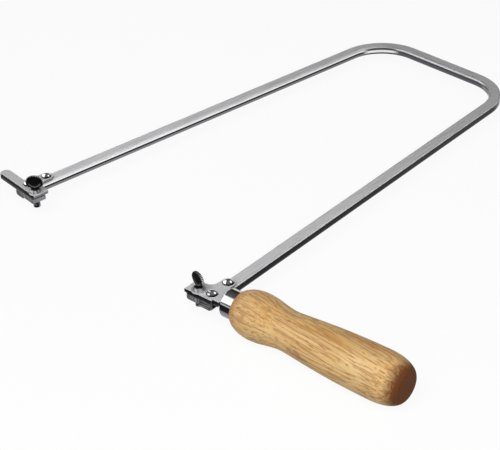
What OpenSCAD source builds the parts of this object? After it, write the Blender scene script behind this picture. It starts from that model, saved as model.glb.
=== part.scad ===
// Fret saw: a bent flat-bar bow with a riveted blade clamp on the end of each arm
// and a turned wooden handle beyond the near clamp.
// X runs along the blade towards the handle, Y towards the back of the bow, Z up.
// The origin is on the handle clamp's screw axis, at the face that the blade is gripped against.

/* [Bow] */
// Clear depth from the blade line to the inside of the back bar
throat = 280; // [200:1:350]
// Width of the bar in the plane of the bow
bar_w = 7.1; // [6:0.1:9]
// Thickness of the bar
bar_t = 5.5; // [4.4:0.1:6]
// Rounding of the bar's four long edges
bar_edge = 1.3; // [0.5:0.1:2]
// Radius of the two bends, on the bar's centreline
bend_r = 28.5; // [20:0.2:40]
// Outward lean of the handle's arm, degrees
handle_lean = 6; // [0:0.1:8]
// Outward lean of the far arm, degrees
far_lean = 3.5; // [0:0.1:8]
// How far each arm runs on in front of its clamp screw
arm_front = 2.3; // [1.5:0.1:2.4]

/* [Brackets] */
// Distance between the two clamp screws
screw_span = 136.5; // [110:1:170]
// Thickness of the pressed sheet
sheet_t = 1.5; // [1.2:0.1:2]
// Clamp screw to the middle of the handle's arm
handle_arm_off = 7.3; // [7.2:0.1:9]
// Clamp screw to the middle of the far arm
far_arm_off = 10.8; // [10:0.1:13]
// Reach of the handle clamp's tongue past its screw, towards the blade
handle_reach = 6.9; // [5:0.1:9]
// Reach of the far clamp's tongue past its screw, towards the blade
far_reach = 3.4; // [3.2:0.1:5]
// Front edge of both brackets, in front of the screw
front = 3.9; // [3.8:0.1:5]
// Back edge of both tongues, behind the screw
tongue_back = 6.9; // [5.5:0.1:9]
// Width of the ear that lies on the arm
ear_w = 7.8; // [7.4:0.1:9]
// Hollow corner between tongue and ear
ear_fillet = 4.4; // [2:0.1:6]
// Height of the cap folded down over the arm's sawn end
cap_h = 4.6; // [3:0.1:4.6]

/* [Rivets] */
// Front rivet, behind the screw's axis
rivet_front = 2.1; // [0.5:0.1:2.4]
// Distance between the two rivets of a bracket
rivet_pitch = 12.4; // [10:0.1:15]
// Diameter of a rivet's shank
rivet_d = 3; // [2.5:0.1:3.6]
// Diameter of the domed heads at the handle
handle_head_d = 6.4; // [5.5:0.1:7.4]
// Diameter of the domed heads at the far end
far_head_d = 5.9; // [5.5:0.1:7.4]
// Height of the domed heads
head_h = 1.8; // [1:0.1:2.4]
// Diameter of the countersunk tails
tail_d = 4.6; // [4.2:0.1:5.4]

/* [Thumb tab] */
// Length of the far bracket's tab, from the middle of the arm
tab_reach = 22.4; // [16:0.1:30]
// Width of the tab
tab_w = 6.6; // [6:0.1:9]
// Depth of the rim pressed down round the tab
rim_h = 1.3; // [0.8:0.1:2.5]
// Thickness of that rim
rim_t = 1.2; // [0.8:0.1:1.6]

/* [Blade clamps] */
// Thickness of the moving jaw
jaw_t = 3.3; // [3:0.1:4.6]
// Room between the jaws at rest: a blade's thickness
blade_gap = 0.3; // [0.2:0.05:0.5]
// Width of a grip groove
groove_w = 0.8; // [0.4:0.1:0.9]
// Distance from one grip groove to the next
groove_pitch = 1.3; // [1:0.1:1.6]
// Diameter of the clamp screw's thread
screw_d = 4; // [3:0.1:4.2]
// Depth of the screw's tip below the blade's face
screw_tip = 7.4; // [6:0.1:9]
// Width of the oval thumb disc
disc_w = 10.2; // [8:0.1:14]
// Height of the oval thumb disc
disc_h = 8.4; // [7:0.1:10]
// Thickness of the thumb disc
disc_t = 1.5; // [1:0.1:3]
// Depth of the step between the disc's knurled rim and its faces
disc_edge = 0.3; // [0.2:0.1:0.4]
// Depth of the knurling
knurl = 0.25; // [0.1:0.05:0.4]
// Height of the disc's centre above the blade's face
disc_up = 8.3; // [8:0.1:12]
// Diameter of the collar under the disc
collar_d = 6.3; // [5.6:0.1:7.4]
// Thickness of that collar
collar_h = 0.9; // [0.6:0.1:1.4]
// Outer diameter of the washer
washer_d = 7.6; // [7:0.1:8]
// Thickness of the washer
washer_t = 0.8; // [0.5:0.1:1.2]
// Angle of the handle clamp's disc, degrees
handle_disc_turn = -10; // [-90:1:90]
// Angle of the far clamp's disc, degrees
far_disc_turn = 44; // [-90:1:90]

/* [Handle] */
// Handle's axis behind the clamp screw
handle_back = 5.7; // [4.5:0.1:8]
// Handle's axis below the face that the blade is gripped against
handle_down = 2.5; // [2.4:0.1:3]
// Clamp screw to the face that the ferrule stands against
handle_out = 15; // [15:0.1:20]
// Length of the ferrule that shows
ferrule_len = 7.3; // [5:0.1:12]
// Outer diameter of the ferrule
ferrule_d = 15.6; // [14:0.1:18]
// Wall of the ferrule
ferrule_wall = 0.8; // [0.5:0.1:1]
// Rounding of the ferrule's front rim
ferrule_edge = 0.6; // [0.3:0.1:1.5]
// Length of the wood that shows
grip_len = 102; // [90:1:130]
// Diameter of the wood where it leaves the ferrule
shoulder_d = 16.8; // [16.2:0.1:20]
// Diameter of the bulb behind the ferrule
bulb_d = 25.5; // [22:0.1:30]
// Diameter of the neck
neck_d = 20.9; // [18:0.1:24]
// Greatest diameter of the grip
swell_d = 26.1; // [24:0.1:32]
// Diameter of the flat end
butt_d = 13.5; // [12:0.5:20]
// Diameter of the steel tang inside the wood
tang_d = 6; // [5:0.1:8]
// Length of the tang past the bracket
tang_len = 45; // [30:1:60]
// Diameter of the spigot that is headed over inside the bracket
spigot_d = 4; // [3:0.1:4.6]
// Diameter of that head
peen_d = 4.6; // [4.4:0.1:4.8]
// Thickness of that head
peen_t = 0.8; // [0.5:0.1:1.2]

/* [Clearances] */
// Round a screw in its bracket and in its jaw
screw_gap = 0.06; // [0.02:0.01:0.1]
// Round a rivet, a spigot and the tang
rivet_gap = 0.05; // [0.02:0.01:0.1]
// Between a washer's hole and the screw
washer_gap = 0.3; // [0.2:0.05:0.5]
// Between the moving jaw and the arm beside it
jaw_gap = 0.4; // [0.3:0.05:0.6]
// Between two pieces that stand against each other
seat_gap = 0.1; // [0.05:0.05:0.2]

/* [Hidden] */
$fn = 64;

// Overrun of every cut past the surface that it opens
over = 0.5;

// Steps round each bend and round each edge of the bar
bend_steps = 24;
edge_steps = 5;

// Outline details of the pressed sheet
sheet_corner = 1;
tongue_corner = 1.6;
cap_corner = 1.4;
bend_out = 1.3;
lip_back = 1.3;
lip_h = 0.9;
out_fillet = 1.6;
cheek_r = 4.8;

// Outline details of jaw, screw and handle
jaw_corner = 1.2;
jaw_step = 2;
groove_share = 0.6;
jaw_depth = 8.1;
neck_waist = 2.8;
neck_power = 2;
neck_steps = 6;
knurl_teeth = 30;
bulb_share = 0.122;
neck_share = 0.318;
swell_share = 0.843;
bulb_power = 0.7;
swell_power = 0.6;
butt_power = 2.2;
profile_steps = 12;
tenon_gap = 0.05;
tang_point = 4;
bore_rest = 3;

// The bow's centreline, where its straight runs would meet
back_y = throat + bar_w / 2;
handle_run = (back_y - handle_arm_off * sin(handle_lean)) / cos(handle_lean);
far_run = (back_y - far_arm_off * sin(far_lean)) / cos(far_lean);
handle_corner = handle_arm_off * cos(handle_lean) - handle_run * sin(handle_lean);
far_corner = -screw_span - far_arm_off * cos(far_lean) + far_run * sin(far_lean);
handle_turn = 90 - handle_lean;
far_turn = 90 - far_lean;
handle_tangent = bend_r * tan(handle_turn / 2);
far_tangent = bend_r * tan(far_turn / 2);

// Heights
web_top = sheet_t;
washer_top = sheet_t + washer_t;
axis_z = -handle_down;
jaw_top = -blade_gap;
jaw_bottom = -blade_gap - jaw_t;

// The handle's stations along its own axis
ferrule_x = handle_out + seat_gap;
wood_x = ferrule_x + ferrule_len;
tenon_r = ferrule_d / 2 - ferrule_wall - tenon_gap;

// Places a clamp's pieces at the handle: +X of the clamp points outwards, past the arm
module at_handle_clamp() {
    rotate([0, 0, handle_lean]) children();
}

// The same at the far arm, where outwards is the other way
module at_far_clamp() {
    translate([-screw_span, 0, 0]) rotate([0, 0, -far_lean]) mirror([1, 0, 0]) children();
}

// What rounding a square corner takes away, with the corner at the origin
module corner_bit(r) {
    difference() {
        square(r);
        translate([r, r]) circle(r);
    }
}

// Bow

// The bar's section as [outwards, up] points: its top face is at height 0
bar_half = bar_w / 2 - bar_edge;
bar_section = [for (q = [0 : 3], k = [0 : edge_steps])
    let (a = 90 * (q + k / edge_steps), side = q == 0 || q == 3 ? 1 : -1)
    [side * bar_half + bar_edge * cos(a), (q < 2 ? -bar_edge : bar_edge - bar_t) + bar_edge * sin(a)]];

// A point at a distance from a centre, in the direction of an angle
function polar(centre, r, a) = centre + r * [cos(a), sin(a)];

// Stations along the bar's centreline, each [point, angle of the outward direction]
far_out = 180 - far_lean;
handle_centre = [handle_corner - handle_tangent, back_y - bend_r];
far_centre = [far_corner + far_tangent, back_y - bend_r];
bow_stations = concat(
    [[polar(polar([0, 0], handle_arm_off, handle_lean), arm_front, handle_lean - 90), handle_lean]],
    [for (i = [0 : bend_steps]) let (a = handle_lean + handle_turn * i / bend_steps)
        [polar(handle_centre, bend_r, a), a]],
    [for (i = [0 : bend_steps]) let (a = 90 + far_turn * i / bend_steps)
        [polar(far_centre, bend_r, a), a]],
    [[polar(polar([-screw_span, 0], far_arm_off, far_out), arm_front, far_out + 90), far_out]]
);

// The section carried along the stations, from the handle's arm to the far arm
module bent_bar() {
    n = len(bar_section);
    m = len(bow_stations);
    polyhedron(
        points = [for (st = bow_stations, q = bar_section)
            let (c = polar(st[0], q[0], st[1])) [c[0], c[1], q[1]]],
        faces = concat(
            [[for (j = [1 : n]) n - j]],
            [for (i = [0 : m - 2], j = [0 : n - 1])
                [i * n + j, i * n + (j + 1) % n, (i + 1) * n + (j + 1) % n, (i + 1) * n + j]],
            [[for (j = [0 : n - 1]) (m - 1) * n + j]]
        ),
        convexity = 4
    );
}

// The holes that an arm's two rivets pass through, countersunk below
module arm_holes(arm_off) {
    for (y = [rivet_front, rivet_front + rivet_pitch]) {
        translate([arm_off, y, -bar_t - over]) cylinder(h = bar_t + 2 * over, d = rivet_d + 2 * rivet_gap);
        translate([arm_off, y, -bar_t]) rivet_tail(rivet_gap, over);
    }
}

module bow() {
    color("silver") difference() {
        bent_bar();
        at_handle_clamp() arm_holes(handle_arm_off);
        at_far_clamp() arm_holes(far_arm_off);
    }
}

// Brackets

// The flat web of a bracket: tongue, ear and hollow corner
module web_outline(arm_off, reach) {
    difference() {
        union() {
            translate([-reach, -front]) square([reach + arm_off, front + tongue_back]);
            translate([arm_off - ear_w / 2, -front]) square([ear_w, front + rivet_front + rivet_pitch]);
            translate([arm_off, rivet_front + rivet_pitch]) circle(d = ear_w);
            translate([arm_off - ear_w / 2, tongue_back]) rotate(90) corner_bit(ear_fillet);
        }
        translate([-reach, -front]) corner_bit(sheet_corner);
        translate([-reach, tongue_back]) rotate(-90) corner_bit(tongue_corner);
    }
}

// Holes through the web, for the screw and the two rivets
module web_holes(arm_off) {
    translate([0, 0, -over]) cylinder(h = sheet_t + 2 * over, d = screw_d + 2 * screw_gap);
    for (y = [rivet_front, rivet_front + rivet_pitch])
        translate([arm_off, y, -over]) cylinder(h = sheet_t + 2 * over, d = rivet_d + 2 * rivet_gap);
}

// Flap folded down over the sawn end of the arm
module end_cap(arm_off) {
    translate([arm_off, -front + sheet_t, -cap_h]) rotate([90, 0, 0]) linear_extrude(sheet_t) difference() {
        translate([-ear_w / 2, 0]) square([ear_w, cap_h]);
        translate([-ear_w / 2, 0]) corner_bit(cap_corner);
        translate([ear_w / 2, 0]) rotate(90) corner_bit(cap_corner);
    }
}

// What rounds the upper edge of the web along its front, from the origin out to a length
module front_fold_cut(length) {
    translate([0, 0, web_top]) rotate([90, 0, 90]) linear_extrude(length)
        rotate(-90) corner_bit(bend_out);
}

// One V groove from y = low to y = high, let into a face that lies at height 0
module groove(low, high) {
    translate([0, high, 0]) rotate([90, 0, 0]) linear_extrude(high - low)
        polygon([[-groove_w / 2, 0], [0, -groove_w * groove_share], [groove_w / 2, 0]]);
}

// Chequering of a grip face: grooves both ways up to the screw, and short ones along the front
module chequer(reach, side) {
    clear = screw_d / 2 + groove_w;
    high = jaw_depth - front;
    for (x = [-reach + groove_pitch : groove_pitch : side - groove_w])
        translate([x, 0, 0]) groove(-front - over, x < -clear ? high + over : -clear);
    for (y = [-front + groove_pitch : groove_pitch : high - groove_w])
        translate([0, y, 0]) rotate(90) groove(clear, reach + over);
}

module handle_bracket() {
    ext_back = handle_back + cheek_r;
    ext_front = -front + lip_back;
    color("lightgray") at_handle_clamp() difference() {
        union() {
            linear_extrude(sheet_t) {
                web_outline(handle_arm_off, handle_reach);
                translate([handle_arm_off, ext_front]) square([handle_out - handle_arm_off, ext_back - ext_front]);
                translate([handle_arm_off + ear_w / 2, ext_back]) corner_bit(out_fillet);
            }
            end_cap(handle_arm_off);
            translate([handle_arm_off + ear_w / 2, ext_front, -lip_h])
                cube([handle_out - handle_arm_off - ear_w / 2, sheet_t, lip_h]);
            translate([handle_out - sheet_t, handle_back, 0]) rotate([90, 0, 90]) linear_extrude(sheet_t) {
                translate([-cheek_r, axis_z]) square([2 * cheek_r, -axis_z]);
                translate([0, axis_z]) circle(cheek_r);
            }
        }
        web_holes(handle_arm_off);
        translate([-handle_reach - over, -front, 0]) front_fold_cut(over + handle_reach + handle_arm_off + ear_w / 2);
        translate([handle_arm_off + ear_w / 2, ext_front, 0])
            front_fold_cut(handle_out + over - handle_arm_off - ear_w / 2);
        mirror([0, 0, 1]) chequer(handle_reach, handle_arm_off - bar_w / 2 - jaw_gap);
        translate([handle_out - sheet_t - over, handle_back, axis_z]) rotate([0, 90, 0])
            cylinder(h = sheet_t + 2 * over, d = spigot_d + 2 * rivet_gap);
    }
}

// The tab: a flat finger with a round end
module tab_outline(inset) {
    end_r = tab_w / 2;
    tip_x = far_arm_off + tab_reach - end_r;
    translate([far_arm_off, -front + inset]) square([tip_x - far_arm_off, tab_w - 2 * inset]);
    translate([tip_x, -front + end_r]) circle(end_r - inset);
}

module far_bracket() {
    rim_x = far_arm_off + ear_w / 2;
    color("lightgray") at_far_clamp() difference() {
        union() {
            linear_extrude(sheet_t) {
                web_outline(far_arm_off, far_reach);
                tab_outline(0);
                translate([far_arm_off + ear_w / 2, -front + tab_w]) corner_bit(out_fillet);
            }
            end_cap(far_arm_off);
            translate([0, 0, -rim_h]) linear_extrude(rim_h) intersection() {
                difference() {
                    tab_outline(0);
                    tab_outline(rim_t);
                }
                translate([rim_x, -front]) square([tab_reach, tab_w]);
            }
        }
        web_holes(far_arm_off);
        translate([-far_reach - over, -front, 0])
            front_fold_cut(over + far_reach + far_arm_off + tab_reach - tab_w / 2);
        mirror([0, 0, 1]) chequer(far_reach, far_arm_off - bar_w / 2 - jaw_gap);
    }
}

// Rivets

// The conical tail that fills the countersink, standing on the arm's underside
module rivet_tail(gap, below) {
    rise = (tail_d - rivet_d) / 2;
    translate([0, 0, -below]) cylinder(h = below, d = tail_d + 2 * gap);
    cylinder(h = rise, d1 = tail_d + 2 * gap, d2 = rivet_d + 2 * gap);
}

// One rivet: domed head on the web, shank through web and arm, countersunk tail
module rivet(head_d) {
    ball = (pow(head_d / 2, 2) + pow(head_h, 2)) / (2 * head_h);
    translate([0, 0, web_top]) intersection() {
        translate([0, 0, head_h - ball]) sphere(ball);
        cylinder(h = head_h + over, d = head_d);
    }
    translate([0, 0, -bar_t]) cylinder(h = bar_t + web_top, d = rivet_d);
    translate([0, 0, -bar_t]) rivet_tail(0, 0);
}

module handle_bracket_rivets() {
    color("gainsboro") at_handle_clamp()
        for (y = [rivet_front, rivet_front + rivet_pitch])
            translate([handle_arm_off, y, 0]) rivet(handle_head_d);
}

module far_bracket_rivets() {
    color("gainsboro") at_far_clamp()
        for (y = [rivet_front, rivet_front + rivet_pitch])
            translate([far_arm_off, y, 0]) rivet(far_head_d);
}

// Blade clamps

// A jaw from x = -reach to x = side, drawn up by the screw that is threaded through it
module jaw(reach, side) {
    difference() {
        translate([0, jaw_depth - front, 0]) rotate([90, 0, 0]) linear_extrude(jaw_depth) difference() {
            translate([-reach, jaw_bottom]) square([reach + side, jaw_t]);
            translate([-reach, jaw_bottom]) corner_bit(jaw_corner);
            translate([side, jaw_bottom]) rotate(90) corner_bit(jaw_corner);
        }
        translate([0, 0, jaw_bottom - over]) cylinder(h = jaw_t + 2 * over, d = screw_d + 2 * screw_gap);
        translate([0, 0, jaw_top]) chequer(reach, side);
    }
}

module handle_clamp_jaw() {
    color("darkgray") at_handle_clamp()
        jaw(handle_reach - jaw_step, handle_arm_off - bar_w / 2 - jaw_gap);
}

module far_clamp_jaw() {
    color("darkgray") at_far_clamp()
        jaw(far_reach, far_arm_off - bar_w / 2 - jaw_gap);
}

// The thumb disc's oval outline, with every other point let in by the knurling
function disc_oval(inset, dent) = [for (i = [0 : 2 * knurl_teeth - 1])
    let (a = 180 * i / knurl_teeth, d = inset + (i % 2) * dent)
    [(disc_w / 2 - d) * cos(a), (disc_h / 2 - d) * sin(a)]];

// Thumb screw: shank, collar, hollow neck and an upright disc
module thumb_screw(turn) {
    neck_low = washer_top + collar_h;
    neck_high = disc_up - disc_h / 2 + disc_t;
    translate([0, 0, -screw_tip]) cylinder(h = screw_tip + washer_top, d = screw_d);
    rotate_extrude() polygon(concat(
        [[0, neck_high], [0, washer_top], [collar_d / 2, washer_top]],
        [for (i = [0 : neck_steps]) let (t = i / neck_steps)
            [neck_waist / 2 + (collar_d - neck_waist) / 2 * pow(1 - t, neck_power),
                neck_low + (neck_high - neck_low) * t]]
    ));
    translate([0, 0, disc_up]) rotate([0, 0, turn]) rotate([90, 0, 0]) {
        rim_thick = disc_t - 2 * disc_edge;
        translate([0, 0, -rim_thick / 2]) linear_extrude(rim_thick) polygon(disc_oval(0, knurl));
        translate([0, 0, -disc_t / 2]) linear_extrude(disc_t) polygon(disc_oval(disc_edge, 0));
    }
}

module handle_clamp_screw() {
    color("dimgray") thumb_screw(handle_disc_turn);
}

module far_clamp_screw() {
    color("dimgray") translate([-screw_span, 0, 0]) thumb_screw(far_disc_turn);
}

module washer() {
    translate([0, 0, web_top]) difference() {
        cylinder(h = washer_t, d = washer_d);
        translate([0, 0, -over]) cylinder(h = washer_t + 2 * over, d = screw_d + 2 * washer_gap);
    }
}

module handle_clamp_washer() {
    color("silver") washer();
}

module far_clamp_washer() {
    color("silver") translate([-screw_span, 0, 0]) washer();
}

// Handle

// Lays a turned piece along the handle's axis, with its own Z outwards
module on_handle_axis(x) {
    at_handle_clamp() translate([x, handle_back, axis_z]) rotate([0, 90, 0]) children();
}

module handle_tang() {
    inside = sheet_t + peen_t;
    color("gray") on_handle_axis(handle_out) {
        translate([0, 0, -inside]) cylinder(h = peen_t, d = peen_d);
        translate([0, 0, -inside]) cylinder(h = inside, d = spigot_d);
        cylinder(h = tang_len - tang_point, d = tang_d);
        translate([0, 0, tang_len - tang_point]) cylinder(h = tang_point, d1 = tang_d, d2 = tang_d / 2);
    }
}

// A drawn cup, with a hole in its front for the tang
module ferrule() {
    r = ferrule_d / 2;
    color("silver") on_handle_axis(ferrule_x) rotate_extrude($fn = 96) difference() {
        square([r, ferrule_len]);
        translate([r, 0]) rotate(90) corner_bit(ferrule_edge);
        translate([0, ferrule_wall]) square([r - ferrule_wall, ferrule_len]);
        translate([0, -over]) square([tang_d / 2 + rivet_gap, ferrule_len]);
    }
}

// Half sine step from 0 to 1
function ease(t) = (1 - cos(180 * t)) / 2;

// Radius of the grip at a share of its length
function grip_r(s) =
    s < bulb_share
        ? shoulder_d / 2 + (bulb_d - shoulder_d) / 2 * pow(1 - pow(1 - s / bulb_share, 2), bulb_power)
    : s < neck_share
        ? bulb_d / 2 + (neck_d - bulb_d) / 2 * ease((s - bulb_share) / (neck_share - bulb_share))
    : s < swell_share
        ? neck_d / 2 + (swell_d - neck_d) / 2
            * ease(pow((s - neck_share) / (swell_share - neck_share), swell_power))
    : butt_d / 2 + (swell_d - butt_d) / 2
        * sqrt(max(0, 1 - pow((s - swell_share) / (1 - swell_share), butt_power)));

// Stations crowd towards the two round ends
grip_stations = concat(
    [for (i = [0 : profile_steps - 1]) bulb_share * (1 - cos(90 * i / profile_steps))],
    [for (i = [0 : profile_steps - 1]) bulb_share + (neck_share - bulb_share) * i / profile_steps],
    [for (i = [0 : profile_steps - 1]) neck_share + (swell_share - neck_share) * i / profile_steps],
    [for (i = [0 : profile_steps]) swell_share + (1 - swell_share) * sin(90 * i / profile_steps)]
);

module grip() {
    bore_end = tang_len - ferrule_len - seat_gap + bore_rest;
    tenon = ferrule_len - ferrule_wall - seat_gap;
    color("peru") on_handle_axis(wood_x) rotate_extrude($fn = 96) difference() {
        union() {
            polygon(concat([[0, 0]], [for (s = grip_stations) [grip_r(s), s * grip_len]], [[0, grip_len]]));
            translate([0, -tenon]) square([tenon_r, tenon + over]);
        }
        translate([0, -tenon - over]) square([tang_d / 2 + rivet_gap, bore_end + tenon + over]);
    }
}

bow();
handle_bracket();
handle_bracket_rivets();
handle_tang();
ferrule();
grip();
handle_clamp_screw();
handle_clamp_washer();
handle_clamp_jaw();
far_bracket();
far_bracket_rivets();
far_clamp_screw();
far_clamp_washer();
far_clamp_jaw();
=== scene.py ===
# %% [markdown]
# A fret saw
#
# A bent steel bow holds a thin blade between two small clamps, and a turned wooden
# handle lies in line with the blade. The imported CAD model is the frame: every piece is
# already in its place and has its true shape, in metres. So this script makes no new
# pieces. It gives each one its finish, and sets up a camera and a plain studio.

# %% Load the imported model
import math

import bmesh
import bpy
from mathutils import Matrix, Vector


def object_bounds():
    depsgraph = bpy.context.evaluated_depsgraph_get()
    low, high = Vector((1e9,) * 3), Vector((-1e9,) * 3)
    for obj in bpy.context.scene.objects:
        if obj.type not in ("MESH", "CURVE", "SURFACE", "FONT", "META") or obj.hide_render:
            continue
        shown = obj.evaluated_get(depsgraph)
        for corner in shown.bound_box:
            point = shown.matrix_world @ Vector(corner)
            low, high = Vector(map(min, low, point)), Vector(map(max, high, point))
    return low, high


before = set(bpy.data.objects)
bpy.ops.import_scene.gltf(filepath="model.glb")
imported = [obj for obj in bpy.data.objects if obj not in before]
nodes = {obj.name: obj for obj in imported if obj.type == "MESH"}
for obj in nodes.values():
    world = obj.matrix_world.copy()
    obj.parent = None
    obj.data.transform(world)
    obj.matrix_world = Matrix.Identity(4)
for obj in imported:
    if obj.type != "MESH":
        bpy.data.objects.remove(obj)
cad_low, cad_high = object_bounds()
mm = 0.001
print("CAD box, mm:", [round(v / mm, 1) for v in (*cad_low, *cad_high)])

# %% [markdown]
# The camera
#
# The photograph is taken from above the handle's end of the blade, from three quarters of
# a metre away. A camera could be aimed at a target by eye, but here its place, the way to
# its right and its line of sight were fitted to the blade line, the two arms and the
# handle in the photograph. A Blender camera looks along its own minus Z, so the columns of
# its matrix are the ways to its right, up, and back from what it sees.

# %% Stand the camera where the photographer stood
camera_place = Vector((466.7, -398.7, 435.8)) * mm
camera_right = Vector((0.6936, 0.7200, -0.0246)).normalized()
camera_sight = Vector((-0.6142, 0.5732, -0.5424)).normalized()
camera_back = -camera_sight
camera_up = camera_back.cross(camera_right).normalized()
camera_right = camera_up.cross(camera_back)

camera_data = bpy.data.cameras.new("camera")
camera_data.sensor_width = 36
camera_data.lens = 106.8
camera_data.clip_start = 0.01
camera = bpy.data.objects.new("camera", camera_data)
camera_turn = Matrix((camera_right, camera_up, camera_back)).transposed()
camera.matrix_world = Matrix.Translation(camera_place) @ camera_turn.to_4x4()
bpy.context.collection.objects.link(camera)
bpy.context.scene.camera = camera
print("Camera's line of sight:", [round(v, 3) for v in camera_sight])

# %% [markdown]
# Shader maths in Python
#
# A finish is a small sum of patterns. As nodes set up by hand it is hard to read, so a
# value in a node tree is wrapped in a class that knows plus, minus, times and divide. An
# expression on such values adds the Math nodes by itself.

# %% A value in a node tree
class Value:
    def __init__(self, maker, socket):
        self.maker = maker
        self.socket = socket

    def __add__(self, other):
        return self.maker.math("ADD", self, other)

    def __radd__(self, other):
        return self.maker.math("ADD", other, self)

    def __sub__(self, other):
        return self.maker.math("SUBTRACT", self, other)

    def __rsub__(self, other):
        return self.maker.math("SUBTRACT", other, self)

    def __mul__(self, other):
        return self.maker.math("MULTIPLY", self, other)

    def __rmul__(self, other):
        return self.maker.math("MULTIPLY", other, self)

    def __truediv__(self, other):
        return self.maker.math("DIVIDE", self, other)

    def __rtruediv__(self, other):
        return self.maker.math("DIVIDE", other, self)

    def size(self):
        """The value without its sign."""
        return self.maker.math("ABSOLUTE", self)

    def held(self):
        """The value held between 0 and 1."""
        return self.maker.math("ADD", self, 0.0, clamp=True)

    def step(self, low, high):
        """A soft step, 0 before low and 1 after high."""
        return self.maker.node("ShaderNodeMapRange", {"interpolation_type": "SMOOTHSTEP"}, {
            "Value": self, "From Min": low, "From Max": high})


# %% [markdown]
# One method for every node
#
# Each node is added in the same way: its type, then its settings, then what goes into its
# sockets, a plain value or a link. The other methods are short names for the few nodes
# that every finish uses. Patterns read Object coordinates, because every piece sits at the
# origin and so its pattern stays on it when a joint moves.

# %% The nodes of one material or world
# A Mix node has several sockets of the same name, so its colour sockets go by number.
mix_share, mix_first, mix_second, mixed_colour = 0, 6, 7, 2


class NodeMaker:
    def __init__(self, tree):
        self.tree = tree

    def fill(self, node, sockets):
        for key, value in sockets.items():
            if isinstance(key, str):
                key = key.replace("_", " ")
            socket = node.inputs[key]
            if isinstance(value, Value):
                self.tree.links.new(value.socket, socket)
            elif isinstance(value, (tuple, list)) and socket.type == "RGBA" and len(value) == 3:
                socket.default_value = (*value, 1)
            else:
                socket.default_value = value

    def node(self, kind, settings=None, sockets=None, out=0):
        node = self.tree.nodes.new(kind)
        for key, value in (settings or {}).items():
            if key == "stops":
                self.set_stops(node.color_ramp, value)
            else:
                setattr(node, key, value)
        self.fill(node, sockets or {})
        return Value(self, node.outputs[out])

    def set_stops(self, ramp, stops):
        while len(ramp.elements) < len(stops):
            ramp.elements.new(0.5)
        for element, (place, colour) in zip(ramp.elements, stops):
            element.position = place
            element.color = (*colour, 1)

    def math(self, operation, *terms, clamp=False):
        settings = {"operation": operation, "use_clamp": clamp}
        return self.node("ShaderNodeMath", settings, dict(enumerate(terms)))

    def place(self, turn=0, scale=(1, 1, 1), start=(0, 0, 0)):
        where = self.node("ShaderNodeTexCoord", out="Object")
        return self.node("ShaderNodeMapping", {"vector_type": "POINT"}, {
            "Vector": where, "Rotation": (0, 0, turn), "Scale": scale, "Location": start})

    def facing(self):
        return self.node("ShaderNodeNewGeometry", out="Normal")

    def part(self, vector, axis):
        return self.node("ShaderNodeSeparateXYZ", sockets={"Vector": vector}, out=axis)

    def noise(self, where, scale, detail=3, rough=0.5):
        return self.node("ShaderNodeTexNoise", sockets={
            "Vector": where, "Scale": scale, "Detail": detail, "Roughness": rough})

    def ramp(self, share, *stops):
        return self.node("ShaderNodeValToRGB", {"stops": stops}, {"Fac": share})

    def blend(self, share, first, second):
        return self.node("ShaderNodeMix", {"data_type": "RGBA"}, {
            mix_share: share, mix_first: first, mix_second: second}, out=mixed_colour)

    def bump(self, height, depth, strength):
        return self.node("ShaderNodeBump", sockets={
            "Height": height, "Distance": depth, "Strength": strength})


# %% A material, its colours, and the pieces that wear it
class Finish(NodeMaker):
    def __init__(self, name, **sockets):
        self.material = bpy.data.materials.new(name)
        self.material.use_nodes = True
        super().__init__(self.material.node_tree)
        self.shader = self.tree.nodes["Principled BSDF"]
        self.fill(self.shader, sockets)


def srgb(red, green, blue):
    """The linear colour of a screen colour, given in 0 to 255."""
    parts = [v / 255 for v in (red, green, blue)]
    return tuple(v / 12.92 if v <= 0.04045 else ((v + 0.055) / 1.055) ** 2.4 for v in parts)


def dress(finish, *names):
    for name in names:
        for slot in nodes[name].material_slots:
            slot.material = finish.material
    print(finish.material.name, "on", ", ".join(names))


# %% [markdown]
# Bright steel bar
#
# The bow is one drawn flat bar, bent at both ends of its back. Its broad faces have a soft
# nickel shine with fine marks along the bar, because it was drawn lengthwise. Its narrow
# sides show bright and dark lines that run with the bar, where it mirrors a dark studio.
#
# A mirror finish could show such lines only if the whole studio were built, and they would
# be lost under other light. So the lines are painted reflections here: colours which follow
# the depth below the bar's top, and the bar lies flat with its top at height zero. The arm
# beside the handle, the far arm and the back bar face different ways, so each has its own
# painted lines. A bend is found by its normal, which points both along and across: its side
# is painted dark as shade, and at the far bend a painted highlight, a gleam, crosses it.
# Towards the back the bar's colour is painted darker, as painted shade.

# %% Lines along the bar's sides
# The bar's thickness and the depth below its top are in millimetres in these two cells.
bar_thick = 5.5
near_arm_to_far_arm = (-30 * mm, -50 * mm)
arms_to_back_bar = (272 * mm, 279 * mm)
# Painted reflections: the top, the rolled edge and the bright line stand for lit studio mirrored
# in the steel, the dark line for dark studio.
rolled_edge_reflection, painted_dark_line = srgb(206, 206, 208), srgb(10, 10, 12)
painted_highlight, bright_top = srgb(252, 252, 252), srgb(236, 236, 237)


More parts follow.
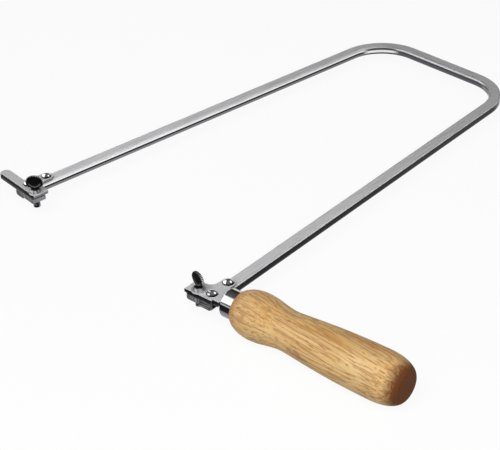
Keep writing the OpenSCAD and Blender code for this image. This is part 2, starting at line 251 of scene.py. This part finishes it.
def line_bar_sides(bar, where, below, far_side):
    down = below / bar_thick
    near_lines = bar.ramp(down, (0.0, bright_top), (0.02, rolled_edge_reflection), (0.07, rolled_edge_reflection),
        (0.10, painted_highlight), (0.16, srgb(250, 250, 251)), (0.20, painted_dark_line),
        (0.68, painted_dark_line), (0.80, srgb(80, 80, 84)), (0.98, srgb(96, 96, 100)))
    far_lines = bar.ramp(down, (0.0, srgb(250, 250, 251)), (0.04, rolled_edge_reflection),
        (0.09, srgb(253, 253, 253)), (0.36, srgb(253, 253, 253)), (0.42, painted_dark_line),
        (0.54, painted_dark_line), (0.62, srgb(124, 124, 128)), (0.98, srgb(146, 146, 150)))
    back_lines = bar.ramp(down, (0.0, bright_top), (0.02, srgb(178, 178, 180)),
        (0.10, srgb(178, 178, 180)), (0.14, painted_highlight), (0.24, srgb(250, 250, 251)),
        (0.32, srgb(62, 62, 66)), (0.60, srgb(96, 96, 100)), (0.98, srgb(104, 104, 108)))
    tone = bar.blend(far_side, near_lines, far_lines)
    return bar.blend(bar.part(where, "Y").step(*arms_to_back_bar), tone, back_lines)


# Painted shade and a painted highlight: a bend's side is coloured dark, and a bright gleam is
# painted across the far bend.
def darken_bends(bar, tone, below, far_side):
    facing = bar.facing()
    bent = (bar.part(facing, "X") * bar.part(facing, "Y")).size().step(0.25, 0.42)
    tone = bar.blend(bent * below.step(0.5, 0.8) * 0.9, tone, painted_dark_line)
    gleam = far_side * below.step(2.0, 2.4) * (1 - below.step(3.6, 4.2))
    return bar.blend(bent * gleam, tone, painted_highlight)


# %% Finish for the bow
def make_bar_finish():
    bar = Finish("bright_bar", Specular_IOR_Level=0.08)
    where = bar.place()
    below = bar.part(where, "Z") * (-1 / mm)
    far_side = bar.part(where, "X").step(*near_arm_to_far_arm)
    tone = line_bar_sides(bar, where, below, far_side)
    tone = darken_bends(bar, tone, below, far_side)
    side = below.step(1.1, 1.5)
    at_back = bar.part(where, "Y").step(262 * mm, 272 * mm)
    drawn = (bar.noise(bar.place(scale=(260, 9, 260)), 5.0, 4) * (1 - at_back)
        + bar.noise(bar.place(scale=(9, 260, 260)), 5.0, 4) * at_back)
    cloud = bar.noise(where, 60.0)
    tone = bar.blend((drawn - 0.45).held() * (1 - side) * 1.2, tone, srgb(120, 120, 122))
    # Painted shade: the bar's colour grows darker towards the back bar.
    painted_shade_to_back = bar.part(where, "Y").step(80 * mm, 280 * mm) * 0.16
    bar.fill(bar.shader, {
        "Base Color": bar.blend(painted_shade_to_back, tone, (0, 0, 0)),
        "Metallic": 0.25 + side * 0.7,
        "Roughness": 0.42 - side * 0.2 + (drawn - 0.5) * 0.2 + (cloud - 0.5) * 0.1,
        "Normal": bar.bump(drawn, 0.02 * mm, 0.3)})
    return bar


dress(make_bar_finish(), "bow")

# %% [markdown]
# Pressed brackets
#
# The brackets are zinc-bright sheet, pressed and folded. Their flat tops are pale and
# faintly speckled, and their folded and cut edges are painted dark as shade, in thin layers.
# An image of real sheet would need the surface unwrapped, so the normal decides instead:
# where it points up or down the surface is flat, and elsewhere it is an edge. An edge is
# painted nearly black above the bar as shade, layered where it is folded down over the
# bar's end, and painted lighter where it faces along the blade, as if lit there.

# %% Finish for the pressed brackets
fold_to_sheet = (-0.8 * mm, 0.1 * mm)


def make_sheet_finish():
    sheet = Finish("satin_sheet", Specular_IOR_Level=0.1)
    where = sheet.place()
    facing = sheet.facing()
    flat = sheet.part(facing, "Z").size().step(0.90, 0.985)
    lit_endwise = sheet.part(facing, "X").size().step(0.7, 0.9)
    speckle = sheet.noise(where, 1500.0, 2)
    cloud = sheet.noise(where, 200.0)
    layer = sheet.noise(sheet.place(scale=(90, 90, 1300)), 1.0)
    top = sheet.blend(speckle.step(0.5, 0.8) * 0.6, srgb(236, 236, 236), srgb(146, 146, 148))
    top = sheet.blend(cloud.step(0.5, 0.8) * 0.3, top, srgb(170, 170, 172))
    # Painted shade and light on the edges: dark, nearly black over the bar, and lighter where
    # they face along the blade.
    side = sheet.blend(layer.step(0.4, 0.6), srgb(40, 40, 42), srgb(128, 128, 131))
    shade_above_bar = sheet.part(where, "Z").step(*fold_to_sheet)
    side = sheet.blend(shade_above_bar * 0.95, side, srgb(12, 12, 14))
    side = sheet.blend(lit_endwise * 0.8, side, srgb(140, 140, 142))
    sheet.fill(sheet.shader, {
        "Base Color": sheet.blend(flat, side, top),
        "Metallic": 0.6 - flat * 0.3,
        "Roughness": 0.34 + flat * 0.1 + (cloud - 0.5) * 0.2,
        "Normal": sheet.bump(speckle, 0.03 * mm, 0.4)})
    return sheet


dress(make_sheet_finish(), "handle_bracket", "far_bracket")

# %% [markdown]
# Milled jaws
#
# The lower jaws are milled from bar, and keep fine upright tool marks and darker layers.
# Both are noise drawn out along one axis by the Mapping node, which is the simplest way to
# make marks with a direction. The marks feed the colour, the roughness and the bump, so
# that they agree with one another.

# %% Finish for the milled jaws
def make_jaw_finish():
    jaw = Finish("milled_jaw", Metallic=0.7)
    upright = jaw.noise(jaw.place(scale=(900, 900, 60)), 2.0)
    layer = jaw.noise(jaw.place(scale=(60, 60, 1500)), 1.0, 2)
    lit_endwise = jaw.part(jaw.facing(), "X").size().step(0.7, 0.9)
    tone = jaw.blend(upright.step(0.35, 0.7), srgb(58, 58, 60), srgb(148, 149, 151))
    tone = jaw.blend(layer.step(0.45, 0.7) * 0.5, tone, srgb(44, 44, 46))
    # Painted light: faces that point along the blade are coloured lighter, as if lit.
    tone = jaw.blend(lit_endwise * 0.6, tone, srgb(156, 156, 158))
    jaw.fill(jaw.shader, {
        "Base Color": tone,
        "Roughness": 0.3 + upright * 0.15,
        "Normal": jaw.bump(upright, 0.06 * mm, 0.6)})
    return jaw


dress(make_jaw_finish(), "handle_clamp_jaw", "far_clamp_jaw")

# %% [markdown]
# Rivets, washers, ferrule and tang
#
# The rivet heads and the ferrule are polished, and the washers and the hidden tang are
# plainer. One function makes them all, because they differ only in colour, polish and the
# dark bands that they mirror. On a round shape such a band lies at one tilt of the
# surface, so a band is a colour for all that is tilted lower, and fades out over a given
# range. It is painted, and so it stays in place under any other light.

# %% Finish for rivets, washers, ferrule and tang
def make_polish_finish(name, colour, roughness, metal=1.0, bands=()):
    polish = Finish(name, Metallic=metal)
    cloud = polish.noise(polish.place(), 160.0)
    dulled = tuple(v * 0.7 for v in colour)
    tone = polish.blend(cloud.step(0.4, 0.8) * 0.3, colour, dulled)
    for low, high, band in bands:
        tilt = polish.part(polish.facing(), "Z")
        tone = polish.blend(tilt.step(low, high), band, tone)
    polish.fill(polish.shader, {"Base Color": tone, "Roughness": roughness + cloud * 0.06})
    return polish


dress(make_polish_finish("polished_rivet", srgb(232, 232, 234), 0.08, 0.97,
    [(0.60, 0.74, srgb(44, 44, 48))]),
    "handle_bracket_rivets", "far_bracket_rivets")
dress(make_polish_finish("bright_washer", srgb(206, 206, 208), 0.3, 0.4),
    "handle_clamp_washer", "far_clamp_washer")
dress(make_polish_finish("polished_ferrule", srgb(212, 213, 218), 0.08,
    bands=[(0.38, 0.46, srgb(26, 26, 30)), (-0.08, 0.04, srgb(128, 128, 134))]), "ferrule")
dress(make_polish_finish("plain_tang", srgb(150, 150, 152), 0.35), "handle_tang")

# %% [markdown]
# Blackened thumb screws
#
# A thumb screw is black. The teeth of the disc's upper half are painted bright, partly as
# wear where fingers turn it and partly as painted highlights that the teeth catch. A pale
# ring on the lower half is a painted reflection, and bright streaks on the neck's bare metal
# are painted glints. The wear and highlights could be painted by hand, but they follow the
# shape, so they are worked out. The Mapping node moves the disc's middle to zero, turns the
# disc square and stretches it round. Then the distance from the middle finds the rim, and
# the angle round it counts off the teeth.

# %% Finish for the blackened thumb screws
disc_teeth = 30
disc_width, disc_height, disc_middle = 10.2 * mm, 8.4 * mm, 8.3 * mm
neck_foot, neck_head = (1 * mm, 1.6 * mm), (3.4 * mm, 4.2 * mm)
tip_end = (-5.5 * mm, -3.5 * mm)
screws_apart = 136.5 * mm


def centre_on_disc(black, along, turn):
    squash = disc_width / disc_height
    return black.place(turn=-turn, scale=(1, 1, squash),
        start=(-along * math.cos(turn), along * math.sin(turn), -disc_middle * squash))


def make_black_finish(name, along, disc_degrees):
    black = Finish(name, Specular_IOR_Level=0.01)
    middle = centre_on_disc(black, along, math.radians(disc_degrees))
    out = black.node("ShaderNodeVectorMath", {"operation": "LENGTH"}, {0: middle}, out="Value")
    round_disc = black.math("ARCTAN2", black.part(middle, "Z"), black.part(middle, "X"))
    tooth = black.math("SINE", round_disc * disc_teeth).step(-0.2, 0.3)
    cloud = black.noise(black.place(), 500.0)
    level = black.part(black.place(), "Z")
    # Wear and painted highlights: the teeth of the disc's upper half are coloured near white.
    worn_and_glinting_half = level.step(disc_middle - 2 * mm, disc_middle + 1 * mm)
    wear_and_glint = out.step(disc_width * 0.46, disc_width * 0.49) * worn_and_glinting_half * tooth
    below = 1 - level.step(disc_middle - 1.6 * mm, disc_middle)
    # Painted reflection: a pale ring on the lower half of the disc.
    reflected_ring = (1 - (out - disc_width * 0.33).size().step(0.2 * mm, 0.8 * mm)) * below
    # Painted glints: bright streaks over the neck's bare metal.
    glint_streak = black.noise(black.place(scale=(900, 900, 60)), 1.0, 2).step(0.44, 0.56)
    neck = (1 - level.step(*neck_head)) * level.step(*neck_foot)
    tip = 1 - level.step(*tip_end)
    tone = black.blend(cloud.step(0.5, 0.8) * 0.5, srgb(14, 14, 15), srgb(40, 40, 42))
    tone = black.blend(reflected_ring * 0.7, tone, srgb(104, 104, 106))
    tone = black.blend(neck * (0.25 + glint_streak * 0.75), tone, srgb(196, 196, 198))
    tone = black.blend(tip * cloud.step(0.4, 0.6), tone, srgb(150, 150, 152))
    black.fill(black.shader, {
        "Base Color": black.blend(wear_and_glint, tone, srgb(244, 244, 246)),
        "Metallic": (wear_and_glint * 0.4 + neck * 0.5 + tip * 0.6).held(),
        "Roughness": 0.4 - wear_and_glint * 0.15 + cloud * 0.15})
    return black


dress(make_black_finish("handle_side_screw", 0, -10), "handle_clamp_screw")
dress(make_black_finish("far_side_screw", -screws_apart, 44), "far_clamp_screw")

# %% [markdown]
# Turned wood
#
# The handle is an open-pored hardwood under a thin varnish. A picture of wood would show a
# seam on a turned shape, so the grain is solid noise that runs through the piece, stretched
# along the handle's axis: broad patches for the growth rings, dense fine streaks, short
# dark dashes for the pores, and a few small knots. The shoulder behind the ferrule is
# redder, and the end is dark, where the grain is cut across and drinks more varnish.

# %% Finish for the handle
handle_lean = math.radians(6)
grip_front, grip_back = 22.4 * mm, 124.4 * mm


def make_wood_finish():
    wood = Finish("varnished_wood", Coat_Roughness=0.4, Specular_IOR_Level=0.12)

    def grain(along, across, detail=2, rough=0.5):
        where = wood.place(turn=-handle_lean, scale=(along, across, across))
        return wood.noise(where, 1.0, detail, rough)

    along = wood.part(wood.place(turn=-handle_lean), "X")
    patch, streak = grain(16, 75, 3, 0.55), grain(16, 420, 3, 0.55)
    fine, pore, knot = grain(24, 1050), grain(190, 1700), grain(90, 150)
    pores = pore.step(0.57, 0.66)
    shoulder = 1 - (along + (fine - 0.5) * 4 * mm).step(grip_front + 1 * mm, grip_front + 8 * mm)
    end = (along + (fine + pore - 1) * 2.5 * mm).step(grip_back - 8 * mm, grip_back - 1 * mm)
    tone = wood.ramp(patch * 0.5 + streak * 0.5, (0.30, srgb(194, 140, 78)),
        (0.42, srgb(218, 174, 110)), (0.53, srgb(229, 193, 136)), (0.70, srgb(236, 205, 151)))
    tone = wood.blend(streak.step(0.52, 0.62) * 0.4, tone, srgb(186, 136, 82))
    tone = wood.blend(fine.step(0.48, 0.60) * 0.55, tone, srgb(170, 116, 60))
    tone = wood.blend(pores * 0.5, tone, srgb(140, 84, 40))
    tone = wood.blend(knot.step(0.64, 0.74) * 0.55, tone, srgb(142, 84, 40))
    tone = wood.blend(shoulder * 0.6, tone, srgb(200, 132, 72))
    tone = wood.blend(end * 0.94, tone, srgb(98, 50, 24))
    wood.fill(wood.shader, {
        "Base Color": tone,
        "Coat Weight": 0.08 - end * 0.08,
        "Roughness": 0.5 + pores * 0.25 + end * 0.2,
        "Normal": wood.bump(1 - pores - fine * 0.4, 0.06 * mm, 0.4)})
    return wood


dress(make_wood_finish(), "grip")

# %% [markdown]
# The floor
#
# The saw lies on a pale sheet of paper, just under its lowest point, so wide that its edge
# is out of sight. More light would make the paper white, but would wash the saw out too.
# So the camera and the polished metal are shown paper that glows a plain white, with a
# little of the lit paper left in, which keeps the saw's soft shadow. To light that bounces
# the paper is grey, so that it doesn't brighten the saw from below.

# %% Floor
floor_reach = 40.0
floor_gap = 0.2 * mm
floor_glow = 0.92
paper_bounced, paper_seen = (0.4, 0.4, 0.4), (0.97, 0.97, 0.97)


def background_ray(finish):
    """1 for the rays that show the background: the camera's and those seen in metal."""
    rays = [finish.node("ShaderNodeLightPath", out=kind)
        for kind in ("Is Camera Ray", "Is Glossy Ray", "Is Transmission Ray")]
    return (rays[0] + rays[1] + rays[2]).held()


def make_paper():
    paper = Finish("paper", Roughness=0.9)
    seen = background_ray(paper)
    paper.fill(paper.shader, {"Base Color": paper.blend(seen, paper_bounced, paper_seen)})
    glow = paper.node("ShaderNodeEmission", sockets={"Color": (1, 1, 1), "Strength": 1.0})
    surface = paper.node("ShaderNodeMixShader", sockets={
        0: seen * floor_glow, 1: Value(paper, paper.shader.outputs[0]), 2: glow})
    paper.fill(paper.tree.nodes["Material Output"], {"Surface": surface})
    return paper


def make_floor():
    mesh = bpy.data.meshes.new("floor")
    bm = bmesh.new()
    bmesh.ops.create_grid(bm, x_segments=1, y_segments=1, size=floor_reach)
    bmesh.ops.translate(bm, verts=bm.verts, vec=(0, 0, cad_low[2] - floor_gap))
    bm.to_mesh(mesh)
    bm.free()
    mesh.materials.append(make_paper().material)
    floor = bpy.data.objects.new("floor", mesh)
    bpy.context.collection.objects.link(floor)
    print("Floor at", round((cad_low[2] - floor_gap) / mm, 1), "mm")


make_floor()

# %% [markdown]
# The lamps
#
# Metal is only as good as what it mirrors, and a lamp that suits the wood is seldom what
# the metal should show. So the two jobs are kept apart: a key and a fill light the saw and
# are kept out of its reflections, and two white panels, to the left and behind the saw,
# are seen in the polished metal and light nothing else.

# %% Lamps
lamp_target = Vector((0, 0.03, 0))


def add_lamp(name, azimuth, height, away, size, watts, mirrored):
    """A soft box, placed by its compass angle and height angle seen from the clamps."""
    turn, rise = math.radians(azimuth), math.radians(height)
    data = bpy.data.lights.new(name, "AREA")
    data.shape = "RECTANGLE"
    data.size, data.size_y = size
    data.energy = watts
    lamp = bpy.data.objects.new(name, data)
    flat = math.cos(rise)
    out = Vector((math.cos(turn) * flat, math.sin(turn) * flat, math.sin(rise)))
    lamp.location = lamp_target + out * away
    lamp.rotation_euler = (-out).to_track_quat("-Z", "Y").to_euler()
    lamp.visible_glossy = mirrored
    lamp.visible_diffuse = not mirrored
    bpy.context.collection.objects.link(lamp)
    print(name, watts, "W,", "mirrored only" if mirrored else "lights only")


add_lamp("key", -65, 50, 0.9, (0.6, 0.6), 6.2, mirrored=False)
add_lamp("fill", -10, 40, 1.3, (0.9, 0.9), 3.9, mirrored=False)
add_lamp("left_panel", -152, 32, 1.3, (1.6, 1.15), 9.9, mirrored=True)
add_lamp("back_panel", 72, 52, 1.3, (0.75, 0.55), 2.2, mirrored=True)

# %% [markdown]
# The room
#
# The world stands for the room round the saw. It is white up to a little above the
# horizon, so that the paper has no visible end, and dark above that, like the studio that
# the saw's steel mirrors. One ramp on the height of the direction does both, and is the
# same for every ray, so nothing in the room depends on the camera.

# %% World
dark_wall = (0.03, 0.03, 0.033)


def make_world():
    world = bpy.data.worlds.new("studio")
    world.use_nodes = True
    bpy.context.scene.world = world
    sky = NodeMaker(world.node_tree)
    height = sky.part(sky.node("ShaderNodeTexCoord", out="Generated"), "Z")
    room = sky.ramp(height.held(), (0.0, (1, 1, 1)), (0.15, (1, 1, 1)),
        (0.19, (0.03, 0.03, 0.03)), (0.45, dark_wall), (0.7, (0.07, 0.07, 0.075)),
        (1.0, (0.14, 0.14, 0.14)))
    sky.fill(sky.tree.nodes["Background"], {"Color": room, "Strength": 1})
    print("World:", world.name)


make_world()
bpy.context.scene.view_settings.view_transform = "Standard"
